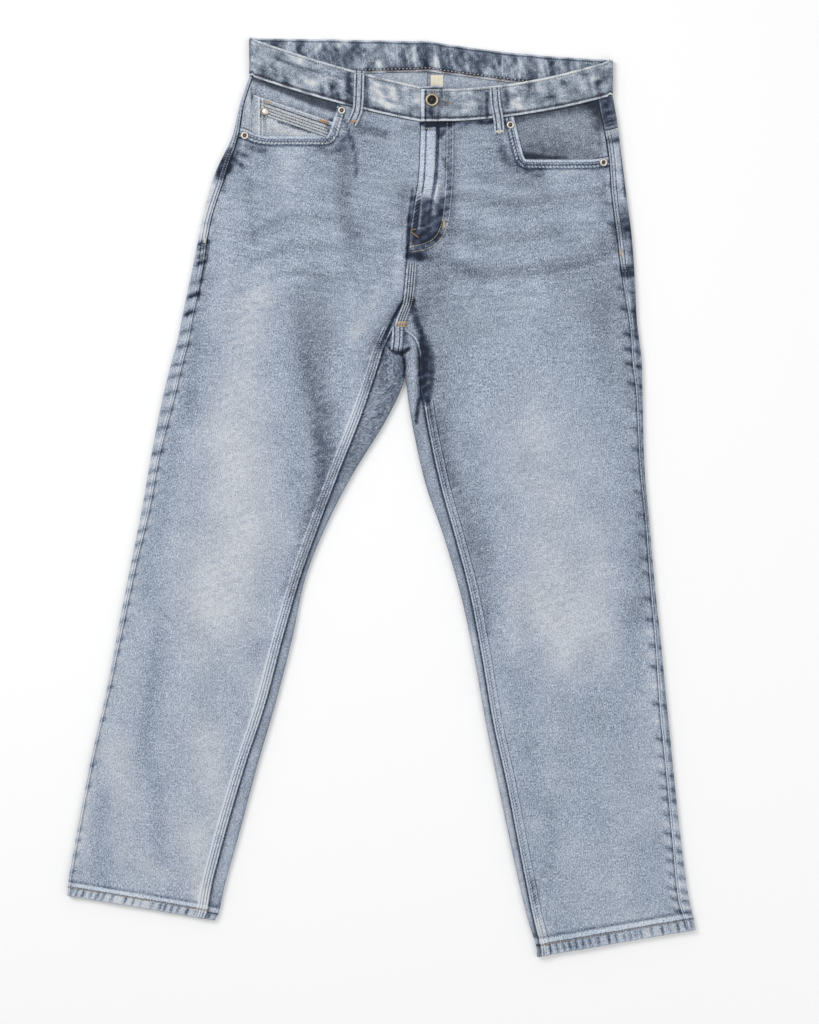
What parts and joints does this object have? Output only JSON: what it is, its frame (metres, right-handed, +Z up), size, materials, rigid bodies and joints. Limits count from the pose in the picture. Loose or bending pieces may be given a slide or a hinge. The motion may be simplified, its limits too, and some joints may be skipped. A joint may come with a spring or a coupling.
{
  "type": "slim fit jeans",
  "caption": "Washed blue slim fit jeans laid flat with the front up, with scooped front pockets, a coin pocket, belt loops and a buttoned waistband.",
  "frame": {"origin": "middle of the bottom of the bounding box, on the surface that the jeans lie on", "axes": "+Z up out of the surface, through the front of the jeans; +Y towards the waist; +X towards the wearer's left leg"},
  "size_m": [0.7358, 1.0761, 0.0171],
  "materials": {
    "denim_front": "washed and faded blue denim twill, light on the thighs and knees, with cream and tan stitching",
    "denim_back": "washed blue denim twill, less faded",
    "denim_band": "washed blue denim twill, mottled and crinkled, with topstitching",
    "facing": "less faded, darker blue denim",
    "copper": "aged copper-toned rivet",
    "old_brass": "dark aged metal, dished in the middle",
    "label": "bare cream woven label"
  },
  "bodies": {
    "root": {"front_right": "denim_front", "front_left": "denim_front", "back_right": "denim_back", "back_left": "denim_back", "yoke_right": "denim_back", "yoke_left": "denim_back", "waistband": "denim_band", "facing_right": "facing", "facing_left": "facing", "coin_pocket": "denim_front", "back_pocket_right": "denim_back", "back_pocket_left": "denim_back", "belt_loop_front_right": "denim_band", "belt_loop_front_left": "denim_band", "belt_loop_back_right": "denim_band", "belt_loop_back_centre": "denim_band", "belt_loop_back_left": "denim_band", "button": "old_brass", "rivet_right_inner": "copper", "rivet_right_outer": "copper", "rivet_coin_pocket": "copper", "rivet_left_inner": "copper", "rivet_left_outer": "copper", "size_label": "label"}
  },
  "joints": []
}
